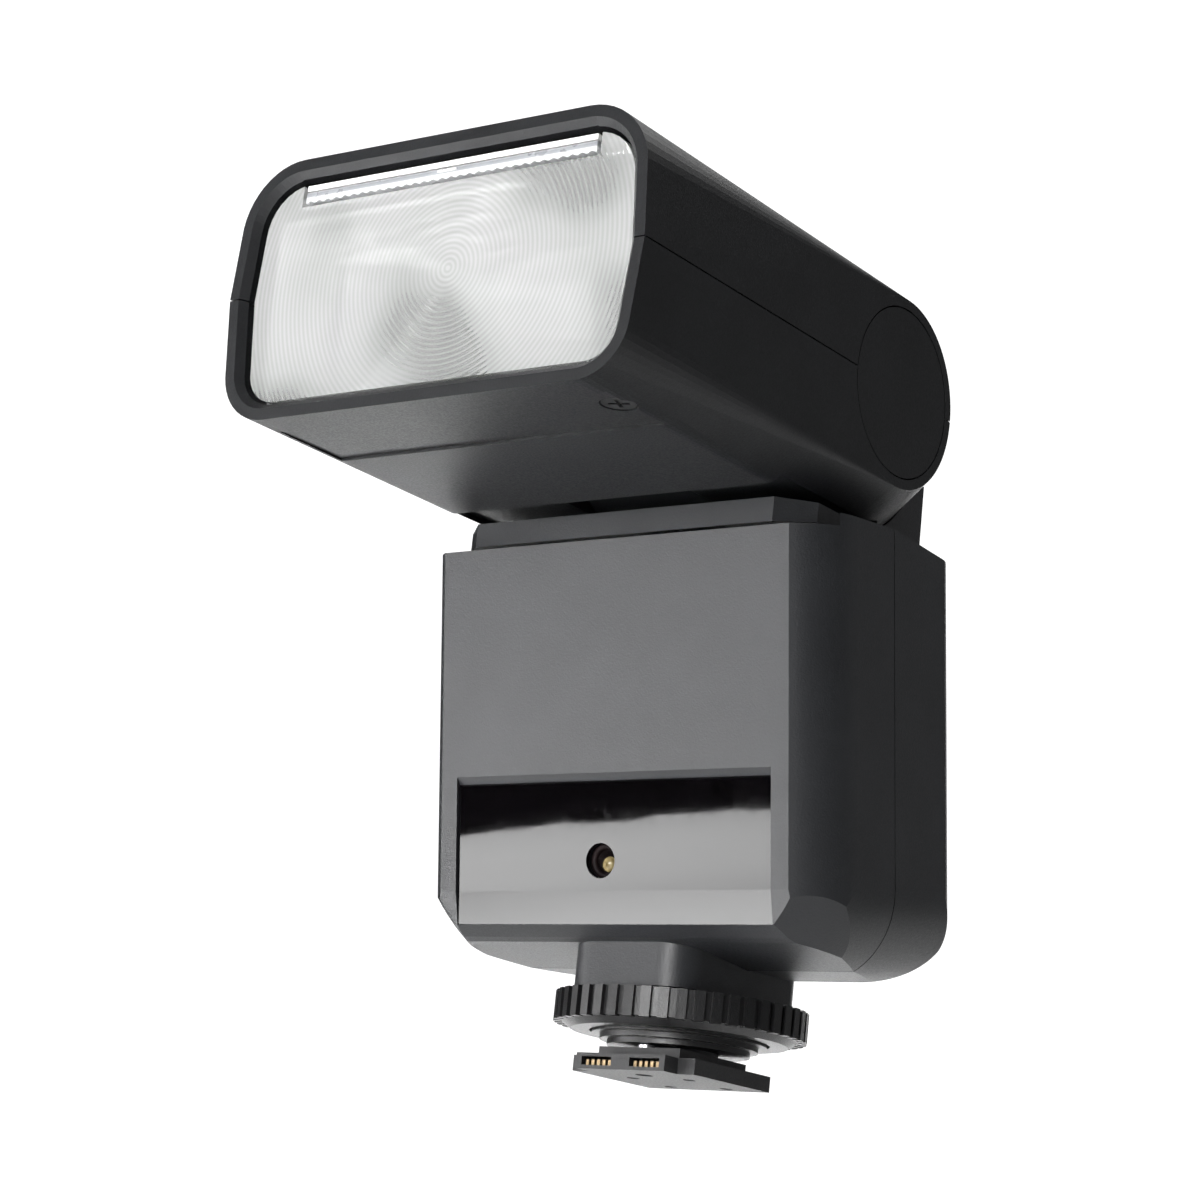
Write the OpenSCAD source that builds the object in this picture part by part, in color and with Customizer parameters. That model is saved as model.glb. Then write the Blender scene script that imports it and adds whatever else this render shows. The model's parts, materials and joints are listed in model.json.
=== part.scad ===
// Small clip-on camera flash: tilting and swivelling head on a leaning body, hot-shoe foot with
// a locking wheel. Origin: bottom face of the foot on the locking wheel's axis, +Z up, the flash
// head points along -Y.

/* [Body] */
// Width across the two side faces
body_w = 62; // [61:0.5:63]
// Forward lean of the body over the foot, in degrees
lean = 9; // [8:0.5:10]
// Depth from the body's axis line to the front face
front_v = 15.2; // [15:0.1:15.6]
// Depth from the body's axis line to the rear face
rear_v = 18.1; // [18:0.1:18.6]
// Height of the flat on the body's top, measured along the lean
top_w = 68.3; // [68.2:0.1:68.4]
// Wall of the body casing
body_wall = 2; // [1.8:0.1:2.2]
// Half width of the flat front face, out to its crease
front_flat = 26.6; // [26:0.1:27]

/* [Head] */
// Height of the tilt axis above the foot's bottom face
axis_z = 86.4; // [86.3:0.1:87]
// Distance of the tilt axis in front of the locking wheel's axis
axis_y = 9.4; // [9:0.1:10]
// Length from the tilt axis to the front rim
head_len = 57.5; // [56:0.5:59]
// Half width of the head at its seam
head_half_w = 31.2; // [31:0.1:31.5]
// Radius of the rounded back of the head
lobe_r = 16.8; // [16.6:0.1:16.9]
// Wall of the head casing
head_wall = 2; // [1.8:0.1:2]
// Radius of the round caps over the tilt axle
cap_r = 11; // [10.5:0.1:11.2]

/* [Foot] */
// Width over the two rails
foot_w = 18.6; // [18.5:0.05:18.7]
// Thickness of the rails
rail_t = 2; // [1.9:0.05:2]
// Radius of the locking wheel
wheel_r = 16.3; // [16:0.1:16.5]
// Number of ribs round the locking wheel
wheel_ribs = 45; // [40:1:48]

/* [Hidden] */
$fn = 96;

half_w = body_w / 2;
bevel_v = -6.5;                        // where a bevel becomes the flat side
bevel_in = half_w - front_flat;        // how far a crease lies inside the flat side
// Radius of the curved bevels beside the front face, so that they meet it at the crease
crease_r = (pow(front_v + bevel_v, 2) + pow(bevel_in, 2)) / (2 * bevel_in);
rear_r = 3.5;                          // corner radius at the back
low_r = 11.5;                          // lower corner radius seen from the front
low_w = 12.9;                          // lowest point of the body along the lean
back_low_r = 5;                        // rounding of the lower back edge
rail_rise = 1.6;                       // raised edge on the +X side of the top, at its highest
rail_in = 30.5;                        // inner face of the raised edge
ball_x = 10;                           // balls that round the two lower front corners
ball_v = 2;
ball_w = 36;
ball_r = 27.2;
seam_v = 2.5;                          // depth of the joint between the two shells
gap = 0.2;                             // parting gap between shells

panel_half_w = 24.1;                   // sensor window
panel_top_w = 38.8;
panel_low_w = 19.8;
panel_depth = 1.1;
lip_drop = 1.7;                        // height of the sloped lip over the sensor window
sensor_x = -1.4;                       // place of the sensor lens
sensor_w = 27.8;

door_v0 = -12.2;                       // battery door, on the -X side
door_v1 = 3.2;
door_w0 = 32.6;
door_w1 = 63.6;
door_gap = 0.4;
hinge_x = -29.7;
hinge_v = 4.7;
hinge_r = 0.7;
knuckle_r = 1.25;
latch_w = 48;

cell_r = 7.1;
cell_len = 50.2;
cell_x0 = -26;
cell_v = -5.7;
cell_ws = [40.9, 55.4];

lcd_w = 32;
lcd_h = 20;
lcd_mid_w = 49;
button_r = 2.5;
button_spots = [[-21.8, 31.2], [-13.6, 33], [13.6, 33], [21.8, 31.2]];
dial_r = 8;
dial_w = 26;
switch_x = -18;
test_x = 18;
lower_row_w = 22.3;
screw_spots = [[-24.3, 57], [24.3, 57]];
run = 0.15;                            // clearance round a button

neck_half_x = 9.2;
neck_y0 = -14;
neck_y1 = 14.6;
neck_corner = 4.2;
plug_half = 6;
wheel_z0 = 6.3;
wheel_z1 = 10.1;
plate_z0 = 3.9;                        // lower face of the pressure plate, 0.5 short of clamping
spigot_r = 5.2;
pin_y = -7;
pin_r = 1.1;
tongue_half = 6.75;
tongue_y = -12.5;
foot_y0 = -9.6;
foot_y1 = 7.8;
stem_half = 6.2;

base_half_x = 27;
base_front_half = 23;
base_front_y = -24;
base_top_z = 69.2;
base_back_y = -3;
rear_wall_half = 24.4;
rear_wall_y = 9.1;
rear_wall_top = 80;
base_gap = 0.7;                        // open gap between the body's top and the turning base
drum_r = 16.5;
drum_half = 9.3;
slot_half = 9.6;
axle_r = 3;
collar_r = 6.6;
swivel_v = 2.5;                        // turntable centre in the body frame

rim_t = 1.35;
lens_y = -54.6;
lens_t = 1.6;
bar_half = 22;
bar_low = 12;
bar_high = 14.6;
panel_t = 0.9;
plate_half = 24.5;                     // shallow panel under the head
plate_y = -52.8;
plate_len = 11.8;
screw_x = 22.9;
screw_y = -48;

rod_x = 24.8;
rod_z = 6;
rod_r = 1.5;
motor_z = -6;
reflector_half = 21;
reflector_h = 8.8;
tube_y = -32;
tube_r = 2.2;

module body_frame() { rotate([lean, 0, 0]) children(); }
module head_frame() { translate([0, -axis_y, axis_z]) children(); }
module along_x() { rotate([90, 0, 90]) children(); }
module along_y() { rotate([90, 0, 0]) children(); }

// ---- body casing -------------------------------------------------------------------------
// Plan of the body, inset by t: flat front, curved bevels, flat sides, small rear corners
module plan(t) {
  r = crease_r - t;
  rr = max(rear_r - t, 0.5);
  x = half_w - t;
  intersection() {
    union() {
      translate([-x, bevel_v]) square([2 * x, rear_v - t - rr - bevel_v]);
      translate([-x + rr, bevel_v]) square([2 * (x - rr), rear_v - t - bevel_v]);
      translate([-x + r, bevel_v - r]) square([2 * (x - r), r + 1]);
      for (s = [-1, 1]) {
        translate([s * (x - r), bevel_v]) circle(r);
        translate([s * (x - rr), rear_v - t - rr]) circle(rr);
      }
    }
    translate([-x - 1, -front_v + t]) square([2 * x + 2, front_v + rear_v]);
  }
}
// Side view of the body, inset by t: X is depth, Y is height. The front rolls under in facets
// and the underside runs parallel to the foot.
module profile(t) {
  v1 = rear_v - t;
  w1 = top_w - t;
  r0 = back_low_r - t;
  rise = t > 0 ? 0 : rail_rise;
  polygon([
    [-10, w1 + rise], [-front_v + t, w1], [-front_v + t, 24.1], [-front_v + 0.5 + t, 19.9 + 0.6 * t],
    [-12.4 + t, 18.3 + t], [-11.2 + t, 17.7 + t], [2.5, 14.3 + t], [v1 - r0, low_w + t],
    [v1, low_w + t + r0], [v1, w1 - 2.7], [v1 - 1.3, w1 - 1.9],
    [t > 0 ? 10.5 : seam_v, w1 + 0.6 * rise]
  ]);
  translate([v1 - r0, low_w + t + r0]) circle(max(r0, 0.5));
}
// Front view of the body, inset by t
module front_outline(t) {
  r = low_r - t;
  x = half_w - t;
  translate([-x, low_w + t + r]) square([2 * x, top_w + rail_rise - low_w - 2 * t - r]);
  translate([-x + r, low_w + t]) square([2 * (x - r), r + 1]);
  for (s = [-1, 1]) translate([s * (x - r), low_w + t + r]) circle(r);
}
// What the ball-shaped rounding takes off the two lower front corners, moved in by t
module corner_cuts(t) {
  for (s = [-1, 1]) difference() {
    translate([s > 0 ? 12 : -42, -30, 0]) cube([30, 34, 30]);
    translate([s * ball_x, ball_v, ball_w]) sphere(ball_r - t);
  }
}
module body_solid(t) {
  difference() {
    intersection() {
      linear_extrude(top_w + rail_rise - t) plan(t);
      translate([-50, 0, 0]) along_x() linear_extrude(100) profile(t);
      translate([0, 50, 0]) along_y() linear_extrude(100) front_outline(t);
    }
    corner_cuts(t);
    translate([-40, -30, top_w - t]) cube([40 + rail_in, 60, 6]);
  }
}
module body_wall_solid() {
  difference() {
    body_solid(0);
    body_solid(body_wall);
  }
}
module door_window(g) {
  translate([-40, door_v0 - g, door_w0 - g])
    cube([40 - 22, door_v1 - door_v0 + 2 * g, door_w1 - door_w0 + 2 * g]);
}
module turntable_hole() {
  translate([0, swivel_v, top_w - 5]) cylinder(r = collar_r + 0.3, h = 10);
}
module rear_hole(x, w, r) {
  translate([x, rear_v - 8, w]) rotate([-90, 0, 0]) cylinder(r = r, h = 12);
}
// Square hole under the body that the neck's plug fills
module neck_hole(g) {
  translate([-plug_half - g, -plug_half - g, 5]) cube([2 * (plug_half + g), 2 * (plug_half + g), 14.5]);
}
module front_shell() {
  color([0.22, 0.225, 0.235]) difference() {
    body_frame() difference() {
      body_wall_solid();
      translate([-50, seam_v - gap / 2, 0]) cube([100, 50, 100]);
      door_window(door_gap);
      translate([-panel_half_w, 0, 0]) along_x() linear_extrude(2 * panel_half_w) polygon([
        [-front_v - 1, panel_top_w + 0.1], [-front_v, panel_top_w],
        [-front_v + panel_depth, panel_top_w - lip_drop], [-front_v + panel_depth, panel_low_w],
        [-front_v - 1, panel_low_w]
      ]);
      translate([sensor_x, -front_v - 1, sensor_w]) rotate([-90, 0, 0]) cylinder(r = 2.4, h = 5);
      turntable_hole();
    }
    neck_hole(0.02);
  }
}
module rear_shell() {
  color([0.17, 0.17, 0.18]) difference() {
    body_frame() difference() {
      body_wall_solid();
      translate([-50, -50 + seam_v + gap / 2, 0]) cube([100, 50, 100]);
      door_window(door_gap);
      translate([hinge_x, hinge_v, door_w0 - 1])
        cylinder(r = knuckle_r + 0.25, h = door_w1 - door_w0 + 2);
      translate([-50, hinge_v - 1.6, door_w0 - 0.4])
        cube([50 + hinge_x, 1.6 + knuckle_r + 0.25, door_w1 - door_w0 + 0.8]);
      turntable_hole();
      translate([-lcd_w / 2 - 1, rear_v - 3, lcd_mid_w - lcd_h / 2 - 1])
        cube([lcd_w + 2, 5, lcd_h + 2]);
      for (p = button_spots) rear_hole(p[0], p[1], button_r + run);
      rear_hole(0, dial_w, 4.2);
      translate([0, rear_v - 0.9, dial_w]) rotate([-90, 0, 0]) cylinder(r = dial_r + 0.4, h = 3);
      rear_hole(test_x, lower_row_w, 2.9);
      translate([switch_x - 3.2, rear_v - 4, lower_row_w - 1.6]) cube([6.4, 6, 3.2]);
      for (p = screw_spots) rear_hole(p[0], p[1], 0.9);
    }
    neck_hole(0.02);
  }
}
module sensor_window() {
  color([0.02, 0.02, 0.025]) body_frame() difference() {
    translate([-panel_half_w + 0.1, 0, 0]) along_x() linear_extrude(2 * panel_half_w - 0.2) polygon([
      [-front_v + 0.55, panel_top_w - 1], [-front_v + panel_depth, panel_top_w - lip_drop],
      [-front_v + panel_depth, panel_low_w + 0.1], [-front_v + 0.62, panel_low_w + 0.1],
      [-front_v + 0.4, 24.1], [-front_v + 0.4, panel_top_w - 1.2]
    ]);
    translate([sensor_x, -front_v - 1, sensor_w]) rotate([-90, 0, 0]) cylinder(r = 2.2, h = 5);
  }
}
module sensor_lens() {
  color([0.75, 0.78, 0.7]) body_frame() translate([sensor_x, -front_v + 1.2, sensor_w])
    rotate([-90, 0, 0]) cylinder(r = 2.3, h = 1.5);
}
module lcd_window() {
  color([0.35, 0.4, 0.42]) body_frame()
    translate([-lcd_w / 2 - 0.8, rear_v - 1.3, lcd_mid_w - lcd_h / 2 - 0.8])
    cube([lcd_w + 1.6, 1.1, lcd_h + 1.6]);
}
module lcd_module() {
  color([0.6, 0.65, 0.6]) body_frame() translate([-lcd_w / 2 + 1, rear_v - 3, lcd_mid_w - lcd_h / 2 + 1])
    cube([lcd_w - 2, 1.6, lcd_h - 2]);
}
module control_board() {
  color([0.1, 0.35, 0.2]) body_frame() difference() {
    translate([-11.5, 10.6, 20]) cube([38.5, 1.4, 43]);
    translate([24.3, 8, 57]) rotate([-90, 0, 0]) cylinder(r = 1.1, h = 6);
  }
}
module main_board() {
  color([0.1, 0.35, 0.2]) body_frame() {
    translate([-11, 5.2, 20]) cube([38, 1.6, 42]);
    for (k = [0:3]) translate([-6 + 8 * k, 6.8, 24]) cube([5, 1.2, 6]);
  }
}
module capacitor() {
  color([0.12, 0.12, 0.3]) body_frame() translate([-18, -4.2, 26.3]) rotate([0, 90, 0])
    cylinder(r = 6.2, h = 38);
}
module charging_coil() {
  color([0.85, 0.6, 0.2]) body_frame() for (w = [20.5, 40]) translate([-21, 9.2, w]) {
    cylinder(r = 5.5, h = 2);
    cylinder(r = 3.6, h = 12);
    translate([0, 0, 12]) cylinder(r = 5.5, h = 2);
  }
}
module battery_cells() {
  color([0.75, 0.75, 0.78]) body_frame() for (w = cell_ws) translate([cell_x0, cell_v, w])
    rotate([0, 90, 0]) {
      cylinder(r = cell_r, h = cell_len - 1);
      cylinder(r = 2.6, h = cell_len);
    }
}
module battery_contacts() {
  color([0.8, 0.75, 0.5]) body_frame() for (w = cell_ws)
    translate([cell_x0 + cell_len + 0.05, cell_v, w]) rotate([0, 90, 0]) cylinder(r = 4.5, h = 0.6);
}
module battery_carrier() {
  color([0.3, 0.3, 0.3]) body_frame() {
    translate([-26, 1.6, 33]) cube([52, 0.7, 30]);
    translate([-24, -12.6, 33]) cube([49, 14.3, 0.6]);
  }
}
// Side door: a piece of the casing's own wall, with knuckles on a hinge pin at the back
module battery_door() {
  color([0.2, 0.2, 0.21]) body_frame() difference() {
    union() {
      intersection() {
        body_wall_solid();
        door_window(0);
      }
      for (w = [door_w0 + 2, door_w1 - 12]) {
        translate([hinge_x, hinge_v, w]) cylinder(r = knuckle_r, h = 10);
        translate([hinge_x - 0.1, door_v1 - 1.2, w]) cube([1.1, hinge_v - door_v1 + 1.2, 10]);
      }
    }
    translate([hinge_x, hinge_v, 0]) cylinder(r = hinge_r + 0.06, h = 80);
    translate([-half_w - 1, -6, latch_w - 5]) cube([1.85, 5, 10]);
  }
}
module door_hinge_pin() {
  color([0.7, 0.7, 0.7]) body_frame() translate([hinge_x, hinge_v, door_w0 - 0.9])
    cylinder(r = hinge_r, h = door_w1 - door_w0 + 1.8);
}
module door_latch() {
  color([0.25, 0.25, 0.26]) body_frame() {
    translate([-half_w + 0.05, -5.9, latch_w - 2.2]) cube([0.7, 4.8, 4.4]);
    for (k = [0:2]) translate([-half_w - 0.35, -5.4, latch_w - 1.7 + 1.3 * k]) cube([0.45, 3.8, 0.6]);
  }
}
module casing_screws() {
  color([0.5, 0.5, 0.5]) body_frame() for (p = screw_spots) translate([p[0], rear_v - 7.5, p[1]])
    rotate([-90, 0, 0]) cylinder(r = 0.85, h = 7);
}
// ---- rear controls -----------------------------------------------------------------------
module rear_button(spot, r, proud) {
  body_frame() translate([spot[0], rear_v - 2.6, spot[1]]) rotate([-90, 0, 0]) {
    cylinder(r = r, h = 2.6 + proud);
    cylinder(r = r + 0.7, h = 0.5);
  }
}
module mode_button() { color("dimgray") rear_button(button_spots[0], button_r, 0.9); }
module slave_button() { color("dimgray") rear_button(button_spots[1], button_r, 0.9); }
module zoom_button() { color("dimgray") rear_button(button_spots[2], button_r, 0.9); }
module sync_button() { color("dimgray") rear_button(button_spots[3], button_r, 0.9); }
module test_button() { color([0.7, 0.1, 0.08]) rear_button([test_x, lower_row_w], 2.75, 0.8); }
module select_dial() {
  color([0.15, 0.15, 0.15]) body_frame() translate([0, rear_v - 0.7, dial_w]) rotate([-90, 0, 0])
    difference() {
      union() {
        cylinder(r = dial_r - 0.5, h = 2);
        for (k = [0:35]) rotate([0, 0, 10 * k]) translate([dial_r - 0.8, -0.35, 0]) cube([0.8, 0.7, 1.8]);
        translate([0, 0, -3.2]) cylinder(r = 4, h = 3.4);
      }
      translate([0, 0, -4]) cylinder(r = 3.2, h = 7);
    }
}
module set_button() {
  color("dimgray") body_frame() translate([0, rear_v - 3.4, dial_w]) rotate([-90, 0, 0])
    cylinder(r = 3.05, h = 4.9);
}
module power_switch() {
  color([0.2, 0.2, 0.2]) body_frame() translate([switch_x - 3, rear_v - 2.4, lower_row_w - 1.45]) {
    cube([3.4, 3.1, 2.9]);
    translate([-0.6, 0, -1]) cube([4.6, 0.35, 4.9]);
  }
}
// ---- turntable on the body ---------------------------------------------------------------
module bearing_ring() {
  color([0.6, 0.6, 0.6]) body_frame() translate([0, swivel_v, top_w - body_wall - 1.3]) difference() {
    cylinder(r = collar_r + 1, h = 1.2);
    translate([0, 0, -1]) cylinder(r = collar_r - 1.4, h = 4);
  }
}
module detent_spring() {
  color([0.7, 0.7, 0.72]) body_frame() translate([8, swivel_v - 2, top_w - body_wall - 0.9])
    cube([5, 4, 0.5]);
}
// ---- foot and locking wheel ----------------------------------------------------------------
module neck_plan() {
  x = neck_half_x;
  r = neck_corner;
  translate([-x, neck_y0 + r]) square([2 * x, neck_y1 - neck_y0 - 2 * r]);
  translate([-x + r, neck_y0]) square([2 * (x - r), neck_y1 - neck_y0]);
  for (s = [-1, 1]) for (y = [neck_y0 + r, neck_y1 - r]) translate([s * (x - r), y]) circle(r);
}
module neck() {
  color([0.2, 0.2, 0.21]) difference() {
    union() {
      difference() {
        translate([0, 0, wheel_z1 + 0.25]) linear_extrude(8) neck_plan();
        body_frame() body_solid(0);
      }
      translate([-plug_half, -plug_half, wheel_z1 + 1]) cube([2 * plug_half, 2 * plug_half, 7]);
      translate([0, 0, rail_t + 0.05]) cylinder(r = spigot_r, h = wheel_z1 + 1 - rail_t);
    }
    cylinder(r = 1.6, h = 30);
  }
}
module lock_wheel() {
  color([0.09, 0.09, 0.095]) difference() {
    union() {
      translate([0, 0, wheel_z0 + 0.2]) cylinder(r = wheel_r - 0.6, h = wheel_z1 - wheel_z0 - 0.2);
      for (k = [0:wheel_ribs - 1]) rotate([0, 0, k * 360 / wheel_ribs])
        translate([wheel_r - 1.1, -0.65, wheel_z0]) cube([1.1, 1.3, wheel_z1 - wheel_z0]);
      translate([0, 0, wheel_z0 - 0.7]) cylinder(r1 = 14, r2 = wheel_r - 0.8, h = 0.95);
    }
    cylinder(r = spigot_r + 0.06, h = 20);
    translate([0, 0, wheel_z0 - 1]) cylinder(r = 11.6, h = 3.2);
  }
}
module pressure_plate() {
  color([0.08, 0.08, 0.085]) difference() {
    union() {
      translate([0, 0, plate_z0 + 1.4]) cylinder(r = 11.3, h = 2.4);
      translate([0, 0, plate_z0 + 0.7]) cylinder(r = 10.2, h = 1);
      translate([0, 0, plate_z0]) cylinder(r = 9.2, h = 1);
    }
    cylinder(r = spigot_r + 0.08, h = 20);
  }
}
module lock_pin() {
  color([0.75, 0.75, 0.76]) translate([0, pin_y, 0.3]) cylinder(r = pin_r, h = plate_z0 - 0.45);
}
module foot() {
  color([0.16, 0.16, 0.17]) difference() {
    union() {
      translate([-foot_w / 2, foot_y0, 0]) cube([foot_w, foot_y1 - foot_y0, rail_t]);
      translate([-tongue_half, tongue_y, 0]) cube([2 * tongue_half, 4, rail_t]);
      translate([-stem_half, foot_y0 + 1, 0]) cube([2 * stem_half, foot_y1 - foot_y0 - 2.2, 3.3]);
    }
    for (x = [-5.9, 1.4]) translate([x, tongue_y - 1, 0.45]) cube([4.5, 4, 1.1]);
    translate([0, pin_y, -1]) cylinder(r = pin_r + 0.06, h = 8);
    translate([0, 0, 2.02]) cylinder(r = spigot_r + 0.02, h = 8);
    for (x = [-4.3, 4.3]) for (y = [-3.2, 5.4]) translate([x, y, -1]) cylinder(r = 0.85, h = 2.2);
  }
}
module foot_contacts() {
  color([0.8, 0.62, 0.25]) {
    for (x = [-5.9, 1.4]) for (k = [0:4]) translate([x + 0.35 + 0.85 * k, tongue_y + 0.5, 0.5])
      cube([0.45, 2.3, 0.7]);
  }
}
module foot_screws() {
  color([0.6, 0.6, 0.62]) for (x = [-4.3, 4.3]) for (y = [-3.2, 5.4])
    translate([x, y, 0.15]) cylinder(r = 0.84, h = 1);
}
// ---- swivel base -------------------------------------------------------------------------
// Plan of the turntable: flat front, 45 degree corners, narrower at the back
module base_plan() {
  c = base_half_x - base_front_half;
  polygon([
    [-base_front_half, base_front_y], [base_front_half, base_front_y],
    [base_half_x, base_front_y + c], [base_half_x, base_back_y],
    [rear_wall_half, base_back_y + c], [rear_wall_half, rear_wall_y],
    [-rear_wall_half, rear_wall_y], [-rear_wall_half, base_back_y + c],
    [-base_half_x, base_back_y], [-base_half_x, base_front_y + c]
  ]);
}
module swivel_base() {
  color([0.19, 0.19, 0.2]) difference() {
    translate([0, 0, 50]) linear_extrude(rear_wall_top - 50) base_plan();
    translate([-40, -40, base_top_z]) cube([80, 40 - axis_y, 30]);
    body_frame() translate([-60, -60, 0]) cube([120, 120, top_w + base_gap]);
    head_frame() rotate([0, 90, 0]) translate([0, 0, -50]) cylinder(r = lobe_r + 0.25, h = 100);
    for (x = [-40, rear_wall_half]) translate([x, -40, base_top_z])
      cube([40 - rear_wall_half, 80, 20]);
  }
}
module swivel_collar() {
  color([0.6, 0.6, 0.62]) difference() {
    body_frame() translate([0, swivel_v, top_w - 4.6]) {
      translate([0, 0, 0.6]) cylinder(r = collar_r - 1.45, h = 4 + base_gap);
      cylinder(r = collar_r + 0.8, h = 0.6);
    }
    body_frame() translate([0, swivel_v, top_w - 6]) cylinder(r = 3.4, h = 12);
  }
}
module hinge_drum() {
  color([0.15, 0.15, 0.16]) difference() {
    union() {
      head_frame() rotate([0, 90, 0]) translate([0, 0, -drum_half]) cylinder(r = drum_r, h = 2 * drum_half);
      translate([-drum_half, -axis_y - 7, base_top_z]) cube([2 * drum_half, 7, 5]);
    }
    head_frame() rotate([0, 90, 0]) translate([0, 0, -20]) cylinder(r = axle_r + 0.05, h = 40);
  }
}
// ---- head ----------------------------------------------------------------------------------
// Front view of the head at its rim, inset by t
module rim_outline(t) {
  x = head_half_w - t;
  ru = 9 - t;
  rl = 7 - t;
  xu = 30.6 - t;
  xl = 30.3 - t;
  zu = 8.2;
  zl = -9.2;
  zt = 17.2 - t;
  zb = -16.2 + t;
  polygon([
    [-xu, zu], [-x, 0], [-xl, zl], [-xl + rl, zb], [xl - rl, zb], [xl, zl], [x, 0], [xu, zu],
    [xu - ru, zt], [-xu + ru, zt]
  ]);
  for (s = [-1, 1]) {
    translate([s * (xu - ru), zu]) circle(ru, $fn = 48);
    translate([s * (xl - rl), zl]) circle(rl, $fn = 48);
  }
}
// Section of the head at the tilt axis, inset by t: flat sides with wide chamfers
module back_outline(t) {
  x = head_half_w - t;
  r = lobe_r - t;
  c = 12.3 - 0.4 * t;
  k = 24.4 - 0.4 * t;
  polygon([[-x, -c], [-k, -r], [k, -r], [x, -c], [x, c], [k, r], [-k, r], [-x, c]]);
}
module head_block(t) {
  union() {
    hull() {
      translate([0, -head_len + 0.2 + t * 0.5, 0]) along_y() linear_extrude(0.2) rim_outline(t);
      translate([0, 0.1, 0]) along_y() linear_extrude(0.2) back_outline(t);
    }
    rotate([0, 90, 0]) rotate_extrude() polygon([
      [0, -head_half_w + t], [12.3 - 0.4 * t, -head_half_w + t], [lobe_r - t, -24.4 + 0.4 * t],
      [lobe_r - t, 24.4 - 0.4 * t], [12.3 - 0.4 * t, head_half_w - t], [0, head_half_w - t]
    ]);
  }
}
module head_cheeks() {
  for (s = [-1, 1]) intersection() {
    head_block(0.5);
    translate([s > 0 ? slot_half : -slot_half - 1.6, -16, -30]) cube([1.6, 60, 60]);
  }
}
// Both shells before they are parted: hollow, open in front, slotted for the hinge drum
module head_casing() {
  difference() {
    union() {
      difference() {
        head_block(0);
        head_block(head_wall);
      }
      head_cheeks();
      for (s = [-1, 1]) intersection() {
        head_block(0.5);
        union() {
          translate([s * 28.7, 0, 0]) rotate([0, 90, 0]) cylinder(r = cap_r + 1.2, h = 1.6, center = true);
          translate([s * 26.9, 0, 0]) rotate([0, 90, 0]) cylinder(r = 6, h = 5, center = true);
        }
      }
    }
    hull() {
      translate([0, -head_len - 0.1, 0]) along_y() linear_extrude(0.1) rim_outline(rim_t);
      translate([0, lens_y - 1.4, 0]) along_y() linear_extrude(0.1) rim_outline(rim_t + 1.3);
    }
    translate([0, lens_y + 3, 0]) along_y() linear_extrude(6) rim_outline(rim_t + 1.3);
    translate([-slot_half, -7.3, -0.01]) cube([2 * slot_half, 40, 30]);
    translate([-slot_half, -14, -30]) cube([2 * slot_half, 50, 30.02]);
    for (s = [-1, 1]) translate([s * (head_half_w - 0.7), 0, 0]) rotate([0, 90, 0])
      cylinder(r = cap_r + 0.05, h = 1.41, center = true);
    rotate([0, 90, 0]) cylinder(r = axle_r + 0.02, h = 58, center = true);
    translate([-26, -18, -17.5]) cube([52, 40, 2.5]);
    translate([-bar_half - 0.4, -60, bar_low - 0.1]) cube([2 * bar_half + 0.8, 8, bar_high - bar_low + 0.5]);
    translate([-plate_half, plate_y, -20]) cube([2 * plate_half, plate_len, 4]);
    translate([screw_x, screw_y, -20]) cylinder(r = 2.3, h = 4.9);
    translate([screw_x, screw_y, -20]) cylinder(r = 1.6, h = 8);
  }
}
module head_upper_shell() {
  color([0.16, 0.16, 0.17]) head_frame() intersection() {
    head_casing();
    translate([-50, -100, gap / 2]) cube([100, 200, 50]);
  }
}
module head_lower_shell() {
  color([0.18, 0.18, 0.19]) head_frame() intersection() {
    head_casing();
    translate([-50, -100, -50 - gap / 2]) cube([100, 200, 50]);
  }
}
module fresnel_lens() {
  color([0.85, 0.87, 0.88, 0.5]) head_frame() difference() {
    translate([0, lens_y + lens_t, 0]) along_y() linear_extrude(lens_t) rim_outline(rim_t + 1.4);
    translate([-bar_half - 0.6, -60, bar_low - 0.4]) cube([2 * bar_half + 1.2, 12, 10]);
  }
}
module wide_panel() {
  color([0.9, 0.92, 0.93, 0.5]) head_frame() {
    translate([-bar_half, -56, bar_low]) cube([2 * bar_half, 1.6, bar_high - 1.2 - bar_low]);
    translate([-bar_half, -56, bar_low + 0.5]) cube([2 * bar_half, 38, panel_t]);
  }
}
module catchlight_panel() {
  color([0.95, 0.95, 0.93]) head_frame() {
    translate([-bar_half, -56, bar_high - 1]) cube([2 * bar_half, 38, 0.7]);
  }
}
module panel_tray() {
  color([0.12, 0.12, 0.12]) head_frame() {
    translate([-23.2, -52.6, 11.2]) cube([46.4, 35.6, 0.6]);
    for (s = [-1, 1]) translate([s > 0 ? 22.4 : -23.2, -52.6, 11.2]) cube([0.8, 35.6, 3.6]);
  }
}
module tilt_axle() {
  color([0.7, 0.7, 0.72]) head_frame() rotate([0, 90, 0]) cylinder(r = axle_r, h = 52, center = true);
}
module tilt_cap(s) {
  head_frame() translate([s * (head_half_w - 0.65), 0, 0]) rotate([0, 90, 0])
    cylinder(r = cap_r - 0.15, h = 1.2, center = true);
}
module tilt_cap_left() { color([0.17, 0.17, 0.18]) tilt_cap(-1); }
module tilt_cap_right() { color([0.17, 0.17, 0.18]) tilt_cap(1); }
module friction_washers() {
  color([0.6, 0.6, 0.62]) head_frame() for (s = [-1, 1]) translate([s * 11.9, 0, 0]) rotate([0, 90, 0])
    difference() {
      cylinder(r = 7, h = 0.8, center = true);
      cylinder(r = axle_r + 0.02, h = 3, center = true);
    }
}
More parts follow.
